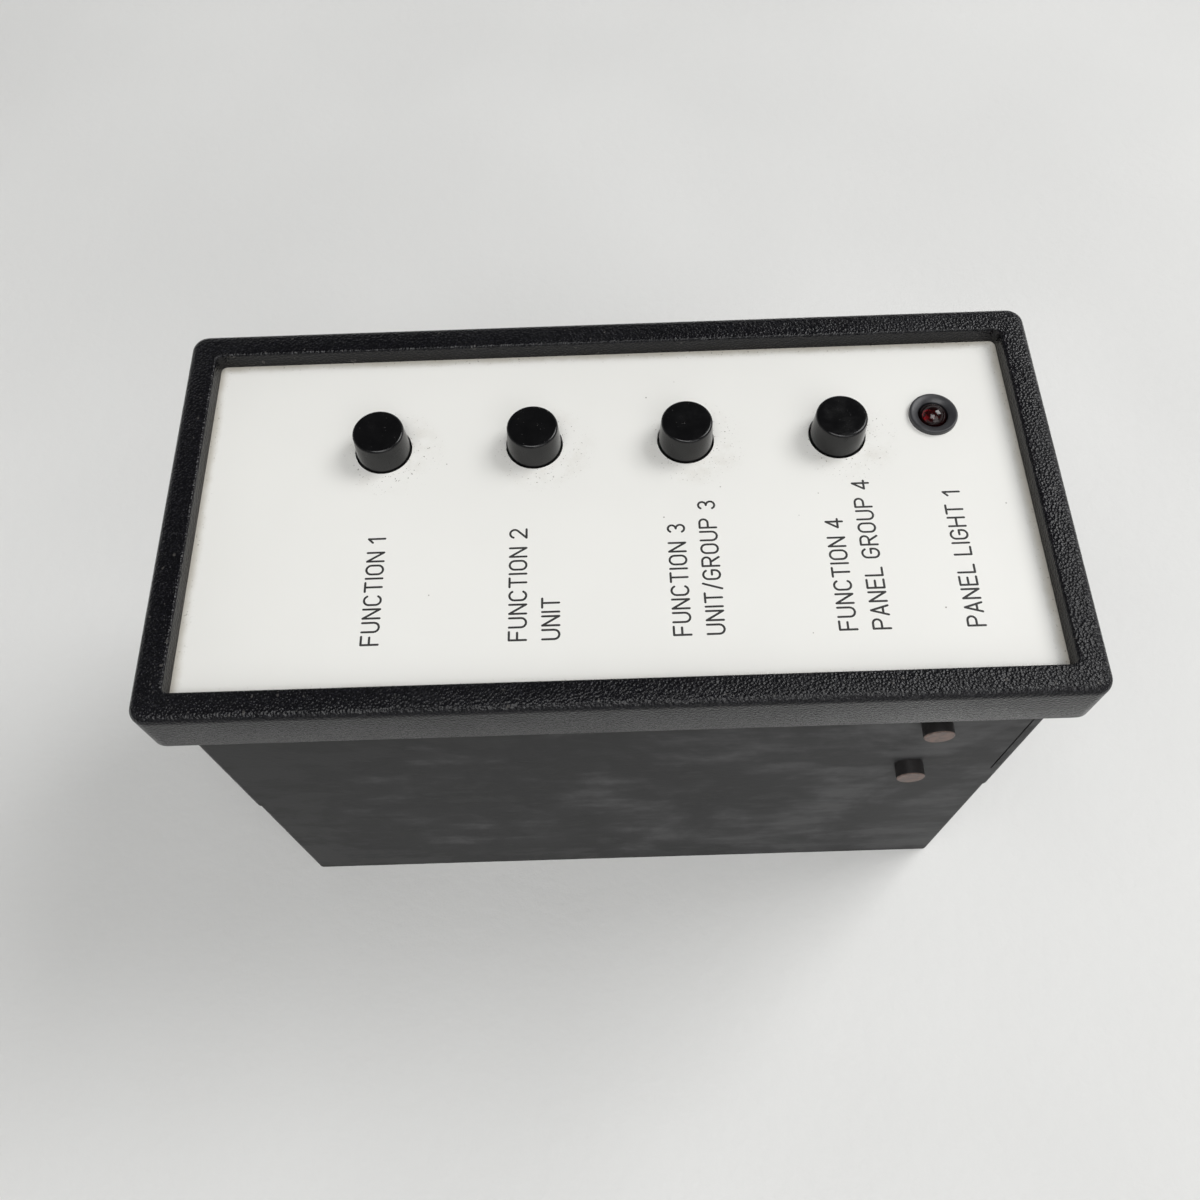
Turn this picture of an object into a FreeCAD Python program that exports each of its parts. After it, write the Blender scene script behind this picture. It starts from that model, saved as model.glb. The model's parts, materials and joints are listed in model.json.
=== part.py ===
import FreeCAD, Part
import math
import os

# Alarm push-button module for a 144 x 72 panel cut-out.  Millimetres.
# Origin: centre of the rear rim.  +Z points out of the front, +X along the long side of the
# front, and -Y to the long side that carries the first pair of clamp studs.

Vector = FreeCAD.Vector

# ---- front frame (bezel) ----
front_length = 144.0
front_width = 72.0
total_depth = 96.5
bezel_depth = 10.3
bezel_corner_radius = 2.8
bezel_front_edge_radius = 1.3
rail_width = 4.7
rail_corner_radius = 1.0
rail_inner_edge_radius = 0.35
plate_recess = 3.2
fit_gap = 0.15

# ---- case ----
end_overhang = 4.4
side_overhang = 2.7
case_wall = 2.0
case_corner_radius = 1.2
case_inner_radius = 0.8
column_size = 8.0
end_pad_height = 0.35
end_pad_width = 9.0
end_pad_drop = 35.0
end_pad_run_out = 5.0
corner_groove_size = 0.3
corner_groove_inset = 1.8
corner_groove_drop = 31.0
latch_length = 8.0
latch_height = 0.5
latch_depth = 2.0
latch_spacing = 80.0
latch_gap = 0.2

# ---- clamp studs ----
stud_radius = 2.45
stud_neck_radius = 2.0
stud_inset = 17.3
stud_first_drop = 16.9
stud_spacing = 20.3
stud_head_radius = 3.2
stud_head_height = 1.2
shaft_gap = 0.05

# ---- front plate ----
plate_thickness = 1.5
plate_gap = 0.1

# ---- push buttons ----
button_count = 4
button_pitch = 25.2
button_row_y = 12.7
cap_height = 5.3
cap_foot_radius = 4.5
cap_top_radius = 4.2
cap_edge_radius = 0.4
cap_hole_gap = 0.25
cap_flange_width = 0.9
cap_flange_height = 1.1
cap_flange_gap = 0.4
cap_roof = 2.4
button_travel = 2.0
stem_radius = 2.45
collar_radius = 4.5
collar_height = 1.25
collar_gap = 0.3

# ---- key switches ----
switch_size = 12.0
switch_corner_radius = 0.6
switch_base_height = 1.2
switch_roof = 1.2
switch_cap_clearance = 0.6
bridge_length = 4.2
bridge_width = 1.6
bridge_thickness = 0.25
contact_pitch = 3.0
contact_head_radius = 0.7
contact_head_height = 0.15
contact_gap = 0.1
anchor_pitch = 9.0
pin_radius = 0.4
pin_tail = 1.4
spring_wire_radius = 0.2
spring_turns = 5
spring_arcs_per_turn = 6
spring_end_gap = 0.1

# ---- signal lamp ----
lamp_offset = 16.4
lamp_y = 15.9
lamp_radius = 2.45
lamp_above_ring = 0.8
lamp_body_height = 5.6
lamp_flange_width = 0.45
lamp_flange_height = 1.1
ring_width = 0.9
ring_height = 0.9
ring_dish = 0.35
ring_barrel_wall = 0.6
ring_barrel_length = 5.6
retainer_wall = 1.15
retainer_height = 2.6
lead_size = 0.5
lead_pitch = 2.54

# ---- circuit boards ----
board_thickness = 1.6
board_end_gap = 0.8
board_side_gap = 1.5
front_board_depth = 18.4
terminal_board_height = 16.0
main_board_y = -4.0
main_board_end_gap = 1.0
guide_depth = 4.0
guide_rib = 2.0
guide_gap = 0.1
link_pitch = 2.54
link_pin_size = 0.6
link_strip_size = 2.5
link_overlap = 6.0
link_hole_radius = 0.5
front_link_pins = 12
rear_link_pins = 16
solder_hole_gap = 0.05

# ---- screws ----
screw_radius = 1.45
screw_head_radius = 2.75
screw_head_height = 2.0
screw_length = 8.0
slot_width = 0.7
slot_depth = 0.8
board_screw_gap = 0.15

# ---- rear cover and terminals ----
rear_cover_thickness = 2.0
rear_cover_gap = 0.3
terminal_count = 8
terminal_pitch = 10.0
terminal_end_wall = 2.0
terminal_block_width = 13.0
terminal_block_y = 15.0
terminal_rim_gap = 1.0
terminal_roof = 3.8
clamp_size_x = 5.6
clamp_size_y = 6.0
clamp_height = 8.0
clamp_gap = 0.2
wire_hole_radius = 1.7
clamp_wire_radius = 1.75
terminal_screw_radius = 1.4
terminal_screw_head_radius = 1.9
terminal_screw_head_height = 1.8
terminal_screw_tip = 2.6
terminal_screw_hole_gap = 0.2
clamp_pin_x = 1.0
clamp_pin_y = 0.8
clamp_pin_hole_radius = 0.75

# ---- parts on the main board ----
relay_size = (29.0, 16.0, 12.7)
relay_edge_radius = 0.8
chip_size = (19.3, 3.3, 6.4)
chip_stand_off = 0.6
chip_leg_count = 7
chip_leg_size = 0.5
chip_pitch = 24.0
chip_count = 4
row_gap = 1.5
capacitor_radius = 6.3
capacitor_height = 20.0
regulator_size = (10.0, 4.5, 15.0)
regulator_tab_height = 6.0
regulator_tab_thickness = 1.3
resistor_radius = 1.2
resistor_length = 6.5
diode_radius = 0.95
diode_length = 4.2
lead_wire = 0.6
lead_run = 2.0
axial_places = (22.0, 35.0, 48.0)
axial_pitch = 3.6

# ---- sizes and places that follow from the ones above ----
case_length = front_length - 2 * end_overhang
case_width = front_width - 2 * side_overhang
column_hole_radius = screw_radius + shaft_gap
cap_flange_radius = cap_foot_radius + cap_flange_width
lamp_flange_radius = lamp_radius + lamp_flange_width
ring_barrel_radius = lamp_radius + shaft_gap + ring_barrel_wall
ring_radius = ring_barrel_radius + ring_width
retainer_radius = ring_barrel_radius + shaft_gap + retainer_wall
bezel_rear = total_depth - bezel_depth
plate_front = total_depth - plate_recess
plate_rear = plate_front - plate_thickness
case_front = plate_rear
half_case_length = case_length / 2
half_case_width = case_width / 2
inner_half_length = half_case_length - case_wall
inner_half_width = half_case_width - case_wall
opening_length = front_length - 2 * rail_width
opening_width = front_width - 2 * rail_width
pocket_length = case_length + 2 * (end_pad_height + fit_gap)
pocket_width = case_width + 2 * fit_gap
pocket_corner_radius = case_corner_radius + fit_gap
front_board_front = total_depth - front_board_depth
front_board_rear = front_board_front - board_thickness
terminal_board_front = terminal_board_height + board_thickness
rear_cover_rear = terminal_board_height - rear_cover_thickness
board_length = 2 * (inner_half_length - board_end_gap)
board_width = 2 * (inner_half_width - board_side_gap)
column_centre_x = inner_half_length - column_size / 2
column_centre_y = inner_half_width - column_size / 2
column_places = [(sx * column_centre_x, sy * column_centre_y) for sx in (-1, 1) for sy in (-1, 1)]
button_places = [(index - (button_count - 1) / 2) * button_pitch for index in range(button_count)]
lamp_x = button_places[-1] + lamp_offset
cap_top = plate_front + cap_height
cap_flange_top = plate_rear - cap_flange_gap
cap_flange_bottom = cap_flange_top - cap_flange_height
stem_top = cap_top - cap_roof
switch_top = cap_flange_bottom - button_travel - switch_cap_clearance
switch_ceiling = switch_top - switch_roof
switch_floor = front_board_front + switch_base_height
collar_top = switch_ceiling - shaft_gap
collar_bottom = collar_top - collar_height
contact_top = switch_floor + contact_head_height
bridge_bottom = contact_top + contact_gap + button_travel
stem_bottom = bridge_bottom + bridge_thickness
ring_top = plate_front + ring_height
lamp_top = ring_top + lamp_above_ring
lamp_body_bottom = lamp_top - lamp_radius - lamp_body_height
lamp_flange_bottom = lamp_body_bottom - lamp_flange_height
stud_x = half_case_length - stud_inset
stud_heights = [total_depth - stud_first_drop, total_depth - stud_first_drop - stud_spacing]
main_board_half = inner_half_length - main_board_end_gap
main_board_top = front_board_rear - link_strip_size
main_board_bottom = terminal_board_front + link_strip_size
main_board_face = main_board_y - board_thickness / 2
terminal_first_x = -(terminal_count - 1) / 2 * terminal_pitch
terminal_places = [terminal_first_x + index * terminal_pitch for index in range(terminal_count)]
terminal_block_length = terminal_count * terminal_pitch + 2 * terminal_end_wall
clamp_bottom = terminal_rim_gap + terminal_roof + clamp_gap
clamp_top = clamp_bottom + clamp_height
wire_height = clamp_bottom + clamp_height / 2


# ---- simple shapes ----
def box(x_low, x_high, y_low, y_high, z_low, z_high):
    corner = Vector(x_low, y_low, z_low)
    return Part.makeBox(x_high - x_low, y_high - y_low, z_high - z_low, corner)


def centred_box(x, y, size_x, size_y, z_low, z_high):
    return box(x - size_x / 2, x + size_x / 2, y - size_y / 2, y + size_y / 2, z_low, z_high)


def post(x, y, z_low, z_high, radius):
    return Part.makeCylinder(radius, z_high - z_low, Vector(x, y, z_low))


def rod_along_y(x, z, y_low, y_high, radius):
    return Part.makeCylinder(radius, y_high - y_low, Vector(x, y_low, z), Vector(0, 1, 0))


def rod_along_x(y, z, x_low, x_high, radius):
    return Part.makeCylinder(radius, x_high - x_low, Vector(x_low, y, z), Vector(1, 0, 0))


def standing_edges(shape):
    return [edge for edge in shape.Edges if edge.BoundBox.ZLength > 1e-3
            and edge.BoundBox.XLength < 1e-6 and edge.BoundBox.YLength < 1e-6]


def level_edges(shape, height):
    return [edge for edge in shape.Edges
            if abs(edge.BoundBox.ZMin - height) < 1e-6 and abs(edge.BoundBox.ZMax - height) < 1e-6]


def rounded_block(x, y, size_x, size_y, z_low, z_high, radius):
    block = centred_box(x, y, size_x, size_y, z_low, z_high)
    return block.makeFillet(radius, standing_edges(block))


def cut_all(shape, tools):
    return shape.cut(Part.makeCompound(tools))


def fuse_all(shapes):
    return shapes[0].multiFuse(shapes[1:]).removeSplitter()


def save(node, shapes):
    solids = [solid for shape in shapes for solid in shape.Solids]
    shape = solids[0] if len(solids) == 1 else Part.makeCompound(solids)
    shape.exportStep("parts/" + node + ".step")


# ---- front frame ----
def make_bezel():
    body = rounded_block(0, 0, front_length, front_width, bezel_rear, total_depth, bezel_corner_radius)
    body = body.makeFillet(bezel_front_edge_radius, level_edges(body, total_depth))
    opening = rounded_block(0, 0, opening_length, opening_width, plate_front, total_depth + 1,
                            rail_corner_radius)
    pocket = rounded_block(0, 0, pocket_length, pocket_width, bezel_rear - 1, plate_front,
                           pocket_corner_radius)
    body = body.cut(opening).cut(pocket)
    rim = [edge for edge in level_edges(body, total_depth)
           if edge.BoundBox.XLength < opening_length + 1e-3
           and abs(edge.BoundBox.YMax) <= opening_width / 2 + 1e-3
           and abs(edge.BoundBox.YMin) <= opening_width / 2 + 1e-3]
    body = body.makeFillet(rail_inner_edge_radius, rim)
    recesses = []
    for side in (-1, 1):
        for x in (-latch_spacing / 2, latch_spacing / 2):
            middle = side * half_case_width
            reach = latch_height + fit_gap + latch_gap
            recesses.append(box(x - latch_length / 2 - latch_gap, x + latch_length / 2 + latch_gap,
                                middle - reach, middle + reach,
                                latch_bottom() - latch_gap, latch_bottom() + latch_depth + latch_gap))
    return cut_all(body, recesses)


def latch_bottom():
    return (bezel_rear + case_front - latch_depth) / 2


def make_plate():
    plate = rounded_block(0, 0, pocket_length - 2 * plate_gap, pocket_width - 2 * plate_gap,
                          plate_rear, plate_front, pocket_corner_radius - plate_gap)
    holes = [post(x, button_row_y, plate_rear - 1, plate_front + 1, cap_foot_radius + cap_hole_gap)
             for x in button_places]
    holes.append(post(lamp_x, lamp_y, plate_rear - 1, plate_front + 1, ring_barrel_radius + shaft_gap))
    return cut_all(plate, holes)


# ---- case ----
def make_end_pad(side):
    """A low pad at a near corner: it fills the frame's pocket and runs down the case's end."""
    low = bezel_rear - end_pad_drop
    face = side * half_case_length
    proud = side * (half_case_length + end_pad_height)
    root = side * (half_case_length - case_wall / 2)
    corners = [Vector(root, -half_case_width, low - end_pad_run_out),
               Vector(face, -half_case_width, low - end_pad_run_out),
               Vector(proud, -half_case_width, low),
               Vector(proud, -half_case_width, case_front),
               Vector(root, -half_case_width, case_front)]
    outline = Part.Face(Part.makePolygon(corners + corners[:1]))
    envelope = rounded_block(0, 0, case_length + 2 * end_pad_height, case_width, 0, case_front,
                             case_corner_radius)
    return outline.extrude(Vector(0, end_pad_width, 0)).common(envelope)


def make_latch(x, side):
    low = latch_bottom()
    root = side * (half_case_width - case_wall / 2)
    face = side * half_case_width
    proud = side * (half_case_width + latch_height)
    corners = [Vector(x - latch_length / 2, root, low),
               Vector(x - latch_length / 2, proud, low),
               Vector(x - latch_length / 2, proud, low + latch_depth / 2),
               Vector(x - latch_length / 2, face, low + latch_depth),
               Vector(x - latch_length / 2, root, low + latch_depth)]
    outline = Part.Face(Part.makePolygon(corners + corners[:1]))
    return outline.extrude(Vector(latch_length, 0, 0))


def make_case():
    shell = rounded_block(0, 0, case_length, case_width, 0, case_front, case_corner_radius)
    hollow = rounded_block(0, 0, 2 * inner_half_length, 2 * inner_half_width, -1, case_front + 1,
                           case_inner_radius)
    shell = shell.cut(hollow)
    solids = [shell, make_end_pad(-1), make_end_pad(1)]
    overlap = case_wall / 2
    for side_x in (-1, 1):
        for side_y in (-1, 1):
            outer_x = side_x * (inner_half_length + overlap)
            outer_y = side_y * (inner_half_width + overlap)
            near_x = side_x * (inner_half_length - column_size)
            near_y = side_y * (inner_half_width - column_size)
            solids.append(box(min(outer_x, near_x), max(outer_x, near_x),
                              min(outer_y, near_y), max(outer_y, near_y),
                              terminal_board_front, front_board_rear))
    slot_half = board_thickness / 2 + guide_gap
    for side_x in (-1, 1):
        wall = side_x * (inner_half_length + overlap)
        edge = side_x * (inner_half_length - guide_depth)
        for rib_y in (main_board_y - slot_half - guide_rib, main_board_y + slot_half):
            solids.append(box(min(wall, edge), max(wall, edge), rib_y, rib_y + guide_rib,
                              main_board_bottom, main_board_top))
    for side in (-1, 1):
        for x in (-latch_spacing / 2, latch_spacing / 2):
            solids.append(make_latch(x, side))
    case = fuse_all(solids)
    cuts = []
    for x, y in column_places:
        cuts.append(post(x, y, terminal_board_front - 1, front_board_rear + 1, column_hole_radius))
    for side in (-1, 1):
        for height in stud_heights:
            low, high = sorted((side * (inner_half_width - 1), side * (half_case_width + 1)))
            cuts.append(rod_along_y(-side * stud_x, height, low, high, stud_neck_radius + shaft_gap))
    groove_x = half_case_length - corner_groove_inset
    cuts.append(centred_box(groove_x, -half_case_width, corner_groove_size, 2 * corner_groove_size,
                            bezel_rear - corner_groove_drop, bezel_rear - fit_gap))
    return cut_all(case, cuts)


def make_stud(side, height):
    """A shouldered stud: its neck passes through the case wall and is riveted over inside."""
    x = -side * stud_x
    tip = side * front_width / 2
    shoulder = side * half_case_width
    wall = side * inner_half_width
    head = side * (inner_half_width - stud_head_height)
    peg = rod_along_y(x, height, min(tip, shoulder), max(tip, shoulder), stud_radius)
    neck = rod_along_y(x, height, min(shoulder, wall), max(shoulder, wall), stud_neck_radius)
    rivet = rod_along_y(x, height, min(wall, head), max(wall, head), stud_head_radius)
    return fuse_all([peg, neck, rivet])


# ---- push buttons and their switches ----
def make_cap(x):
    crown = Part.makeCone(cap_foot_radius, cap_top_radius, cap_height, Vector(x, button_row_y, plate_front))
    crown = crown.makeFillet(cap_edge_radius, level_edges(crown, cap_top))
    barrel = post(x, button_row_y, cap_flange_bottom, plate_front, cap_foot_radius)
    flange = post(x, button_row_y, cap_flange_bottom, cap_flange_top, cap_flange_radius)
    socket = post(x, button_row_y, cap_flange_bottom - 1, stem_top, stem_radius + shaft_gap)
    return fuse_all([crown, barrel, flange]).cut(socket)


def make_plunger(x):
    stem = post(x, button_row_y, stem_bottom, stem_top, stem_radius)
    collar = post(x, button_row_y, collar_bottom, collar_top, collar_radius)
    return fuse_all([stem, collar])


def make_bridge(x):
    return centred_box(x, button_row_y, bridge_length, bridge_width, bridge_bottom, stem_bottom)


def make_spring(x):
    """A coil spring whose wire follows short arcs, several to a turn."""
    low = switch_floor + spring_wire_radius + spring_end_gap
    high = collar_bottom - spring_wire_radius - spring_end_gap
    radius = (stem_radius + collar_radius + collar_gap) / 2
    arc_count = spring_turns * spring_arcs_per_turn

    def along(step):
        turn = 2 * math.pi * step / spring_arcs_per_turn
        rise = (high - low) * step / arc_count
        return Vector(x + radius * math.cos(turn), button_row_y + radius * math.sin(turn), low + rise)

    arcs = [Part.Arc(along(step), along(step + 0.5), along(step + 1)).toShape()
            for step in range(arc_count)]
    slope = Vector(0, 2 * math.pi * radius, (high - low) / spring_turns)
    section = Part.Wire([Part.makeCircle(spring_wire_radius, along(0), slope)])
    return Part.Wire(arcs).makePipeShell([section], True, True)


def make_switch_housing(x):
    block = rounded_block(x, button_row_y, switch_size, switch_size, switch_floor, switch_top,
                          switch_corner_radius)
    bore = post(x, button_row_y, switch_floor - 1, switch_ceiling, collar_radius + collar_gap)
    guide = post(x, button_row_y, switch_ceiling - 1, switch_top + 1, stem_radius + shaft_gap)
    return cut_all(block, [bore, guide])


def contact_places(x):
    return [(x - contact_pitch / 2, button_row_y), (x + contact_pitch / 2, button_row_y)]


def anchor_places(x):
    return [(x - anchor_pitch / 2, button_row_y - anchor_pitch / 2),
            (x + anchor_pitch / 2, button_row_y + anchor_pitch / 2)]


def make_switch_base(x):
    base = rounded_block(x, button_row_y, switch_size, switch_size, front_board_front, switch_floor,
                         switch_corner_radius)
    holes = [post(px, py, front_board_front - 1, switch_floor + 1, pin_radius + solder_hole_gap)
             for px, py in contact_places(x) + anchor_places(x)]
    return cut_all(base, holes)


def make_switch_pins(x):
    tail = front_board_rear - pin_tail
    pins = []
    for px, py in contact_places(x):
        shank = post(px, py, tail, switch_floor, pin_radius)
        head = post(px, py, switch_floor, contact_top, contact_head_radius)
        pins.append(fuse_all([shank, head]))
    for px, py in anchor_places(x):
        pins.append(post(px, py, tail, switch_floor, pin_radius))
    return pins


# ---- signal lamp ----
def make_lamp():
    body = post(lamp_x, lamp_y, lamp_body_bottom, lamp_top - lamp_radius, lamp_radius)
    dome = Part.makeSphere(lamp_radius, Vector(lamp_x, lamp_y, lamp_top - lamp_radius))
    flange = post(lamp_x, lamp_y, lamp_flange_bottom, lamp_body_bottom, lamp_flange_radius)
    return fuse_all([body, dome, flange])


def make_lamp_holder():
    ring = post(lamp_x, lamp_y, plate_front, ring_top, ring_radius)
    ring = ring.makeFillet(ring_dish / 2, level_edges(ring, ring_top))
    barrel = post(lamp_x, lamp_y, plate_front - ring_barrel_length, plate_front, ring_barrel_radius)
    bore_radius = lamp_radius + shaft_gap
    dish = Part.makeCone(bore_radius, ring_radius - ring_dish, ring_dish,
                         Vector(lamp_x, lamp_y, ring_top - ring_dish))
    bore = post(lamp_x, lamp_y, plate_front - ring_barrel_length - 1, ring_top + 1, bore_radius)
    return cut_all(fuse_all([ring, barrel]), [dish, bore])


def make_lamp_retainer():
    ring = post(lamp_x, lamp_y, plate_rear - retainer_height, plate_rear, retainer_radius)
    return ring.cut(post(lamp_x, lamp_y, plate_rear - retainer_height - 1, plate_rear + 1,
                         ring_barrel_radius + shaft_gap))


def lamp_lead_places():
    return [(lamp_x - lead_pitch / 2, lamp_y), (lamp_x + lead_pitch / 2, lamp_y)]


def make_lamp_spacer():
    spacer = post(lamp_x, lamp_y, front_board_front, lamp_flange_bottom, lamp_flange_radius)
    holes = [post(x, y, front_board_front - 1, lamp_flange_bottom + 1, lead_size)
             for x, y in lamp_lead_places()]
    return cut_all(spacer, holes)


def make_lamp_leads():
    tail = front_board_rear - pin_tail
    return [centred_box(x, y, lead_size, lead_size, tail, lamp_flange_bottom)
            for x, y in lamp_lead_places()]


# ---- circuit boards and their links ----
def link_places(count):
    return [(index - (count - 1) / 2) * link_pitch for index in range(count)]


def link_pin_y():
    return main_board_face - link_pin_size / 2


def make_front_board():
    board = centred_box(0, 0, board_length, board_width, front_board_rear, front_board_front)
    low = front_board_rear - 1
    high = front_board_front + 1
    holes = [post(x, y, low, high, column_hole_radius + board_screw_gap) for x, y in column_places]
    for x in button_places:
        for px, py in contact_places(x) + anchor_places(x):
            holes.append(post(px, py, low, high, pin_radius + solder_hole_gap))
    for x, y in lamp_lead_places():
        holes.append(post(x, y, low, high, lead_size))
    for x in link_places(front_link_pins):
        holes.append(post(x, link_pin_y(), low, high, link_hole_radius))
    return cut_all(board, holes)


def make_terminal_board():
    board = centred_box(0, 0, board_length, board_width, terminal_board_height, terminal_board_front)
    low = terminal_board_height - 1
    high = terminal_board_front + 1
    holes = [post(x, y, low, high, column_hole_radius + board_screw_gap) for x, y in column_places]
    for side in (-1, 1):
        for x in terminal_places:
            holes.append(post(x, side * terminal_block_y, low, high, clamp_pin_hole_radius))
    for x in link_places(rear_link_pins):
        holes.append(post(x, link_pin_y(), low, high, link_hole_radius))
    return cut_all(board, holes)


def make_main_board():
    return centred_box(0, main_board_y, 2 * main_board_half, board_thickness,
                       main_board_bottom, main_board_top)


def make_front_link():
    length = front_link_pins * link_pitch
    strip_low = main_board_top
    y = link_pin_y()
    strip = centred_box(0, y, length, link_strip_size, strip_low, front_board_rear)
    holes = [centred_box(x, y, link_pin_size, link_pin_size, strip_low - 1, front_board_rear + 1)
             for x in link_places(front_link_pins)]
    pins = [centred_box(x, y, link_pin_size, link_pin_size, main_board_top - link_overlap,
                        front_board_front) for x in link_places(front_link_pins)]
    return cut_all(strip, holes), pins


def make_rear_link():
    length = rear_link_pins * link_pitch
    y = link_pin_y()
    strip = centred_box(0, y, length, link_strip_size, terminal_board_front, main_board_bottom)
    holes = [centred_box(x, y, link_pin_size, link_pin_size, terminal_board_front - 1,
                         main_board_bottom + 1) for x in link_places(rear_link_pins)]
    pins = [centred_box(x, y, link_pin_size, link_pin_size, terminal_board_height,
                        main_board_bottom + link_overlap) for x in link_places(rear_link_pins)]
    return cut_all(strip, holes), pins


# ---- screws ----
def make_screw(x, y, seat, outward, reach):
    """A slotted pan-head screw whose head stands on the seat and whose shank runs the other way."""
    head_end = seat + outward * screw_head_height
    shank_end = seat - outward * reach
    head = post(x, y, min(seat, head_end), max(seat, head_end), screw_head_radius)
    shank = post(x, y, min(seat, shank_end), max(seat, shank_end), screw_radius)
    slot_floor = head_end - outward * slot_depth
    slot = centred_box(x, y, 3 * screw_head_radius, slot_width, min(slot_floor, head_end),
                       max(slot_floor, head_end))
    return fuse_all([head, shank]).cut(slot)


# ---- rear cover and terminals ----
def make_rear_cover():
    cover = rounded_block(0, 0, 2 * (inner_half_length - rear_cover_gap),
                          2 * (inner_half_width - rear_cover_gap),
                          rear_cover_rear, terminal_board_height, case_inner_radius)
    cuts = [post(x, y, rear_cover_rear - 1, terminal_board_height + 1, column_hole_radius)
            for x, y in column_places]
    for side in (-1, 1):
        cuts.append(centred_box(0, side * terminal_block_y, terminal_block_length + 2 * rear_cover_gap,
                                terminal_block_width + 2 * rear_cover_gap,
                                rear_cover_rear - 1, terminal_board_height + 1))
    return cut_all(cover, cuts)


def make_terminal_block(side):
    y = side * terminal_block_y
    outer = side * (terminal_block_y + terminal_block_width / 2)
    block = rounded_block(0, y, terminal_block_length, terminal_block_width, terminal_rim_gap,
                          terminal_board_height, case_inner_radius)
    cuts = []
    for x in terminal_places:
        cuts.append(centred_box(x, y, clamp_size_x + 2 * clamp_gap, clamp_size_y + 2 * clamp_gap,
                                clamp_bottom - clamp_gap, terminal_board_height + 1))
        cuts.append(post(x, y, terminal_rim_gap - 1, clamp_bottom,
                         terminal_screw_head_radius + terminal_screw_hole_gap))
        mouth = outer + side
        cuts.append(rod_along_y(x, wire_height, min(y, mouth), max(y, mouth), wire_hole_radius))
    return cut_all(block, cuts)


def make_terminal_clamp(x, side):
    y = side * terminal_block_y
    cage = centred_box(x, y, clamp_size_x, clamp_size_y, clamp_bottom, clamp_top)
    pin = centred_box(x, y, clamp_pin_x, clamp_pin_y, clamp_top, terminal_board_front + pin_tail)
    thread = post(x, y, clamp_bottom - 1, wire_height, terminal_screw_radius + shaft_gap)
    way = rod_along_y(x, wire_height, y - clamp_size_y, y + clamp_size_y, clamp_wire_radius)
    return cut_all(fuse_all([cage, pin]), [thread, way])


def make_terminal_screw(x, side):
    y = side * terminal_block_y
    seat = clamp_bottom - clamp_gap - terminal_screw_hole_gap
    head_rear = seat - terminal_screw_head_height
    head = post(x, y, head_rear, seat, terminal_screw_head_radius)
    shank = post(x, y, seat, clamp_bottom + terminal_screw_tip, terminal_screw_radius)
    slot = centred_box(x, y, 3 * terminal_screw_head_radius, slot_width, head_rear,
                       head_rear + slot_depth)
    return fuse_all([head, shank]).cut(slot)


# ---- parts on the main board ----
def make_relay(x, z):
    length, height, width = relay_size
    cover = box(x - length / 2, x + length / 2, main_board_face - height, main_board_face,
                z - width / 2, z + width / 2)
    outer = [edge for edge in cover.Edges
             if abs(edge.BoundBox.YMin - (main_board_face - height)) < 1e-6]
    return cover.makeFillet(relay_edge_radius, outer)


def make_chip(x, z):
    length, height, width = chip_size
    top = main_board_face - chip_stand_off
    solids = [box(x - length / 2, x + length / 2, top - height, top, z - width / 2, z + width / 2)]
    for side in (-1, 1):
        for index in range(chip_leg_count):
            leg_x = x + (index - (chip_leg_count - 1) / 2) * link_pitch
            inner = z + side * (width / 2 - chip_leg_size / 2)
            outer = z + side * (width / 2 + chip_leg_size)
            low, high = sorted((inner, outer))
            solids.append(box(leg_x - chip_leg_size / 2, leg_x + chip_leg_size / 2,
                              top - height / 2, main_board_face, low, high))
    return fuse_all(solids)


def make_capacitor(x, z):
    can = rod_along_y(x, z, main_board_face - capacitor_height, main_board_face, capacitor_radius)
    outer = [edge for edge in can.Edges
             if abs(edge.BoundBox.YMax - (main_board_face - capacitor_height)) < 1e-6]
    return can.makeFillet(relay_edge_radius, outer)


def make_regulator(x, z):
    length, depth, height = regulator_size
    rear = main_board_face - lead_run
    body = box(x - length / 2, x + length / 2, rear - depth, rear, z, z + height - regulator_tab_height)
    tab = box(x - length / 2, x + length / 2, rear - regulator_tab_thickness, rear, z, z + height)
    hole = rod_along_y(x, z + height - regulator_tab_height / 2, rear - depth, rear + 1,
                       column_hole_radius)
    solids = [body, tab]
    for index in (-1, 0, 1):
        leg_x = x + index * link_pitch
        solids.append(box(leg_x - link_pin_size / 2, leg_x + link_pin_size / 2,
                          rear - depth / 2, rear - depth / 2 + link_pin_size, z - lead_run, z + 1))
        solids.append(box(leg_x - link_pin_size / 2, leg_x + link_pin_size / 2,
                          rear - depth / 2, main_board_face, z - lead_run - link_pin_size, z - lead_run))
    return fuse_all(solids).cut(hole)


def make_axial_part(x, z, radius, length):
    """A small round part lying along X whose two leads turn into the board."""
    y = main_board_face - radius - lead_wire
    reach = length / 2 + lead_run
    half = lead_wire / 2
    body = rod_along_x(y, z, x - length / 2, x + length / 2, radius)
    lead = box(x - reach, x + reach, y - half, y + half, z - half, z + half)
    feet = [box(end - half, end + half, y, main_board_face, z - half, z + half)
            for end in (x - reach + half, x + reach - half)]
    return fuse_all([body, lead] + feet)


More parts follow.
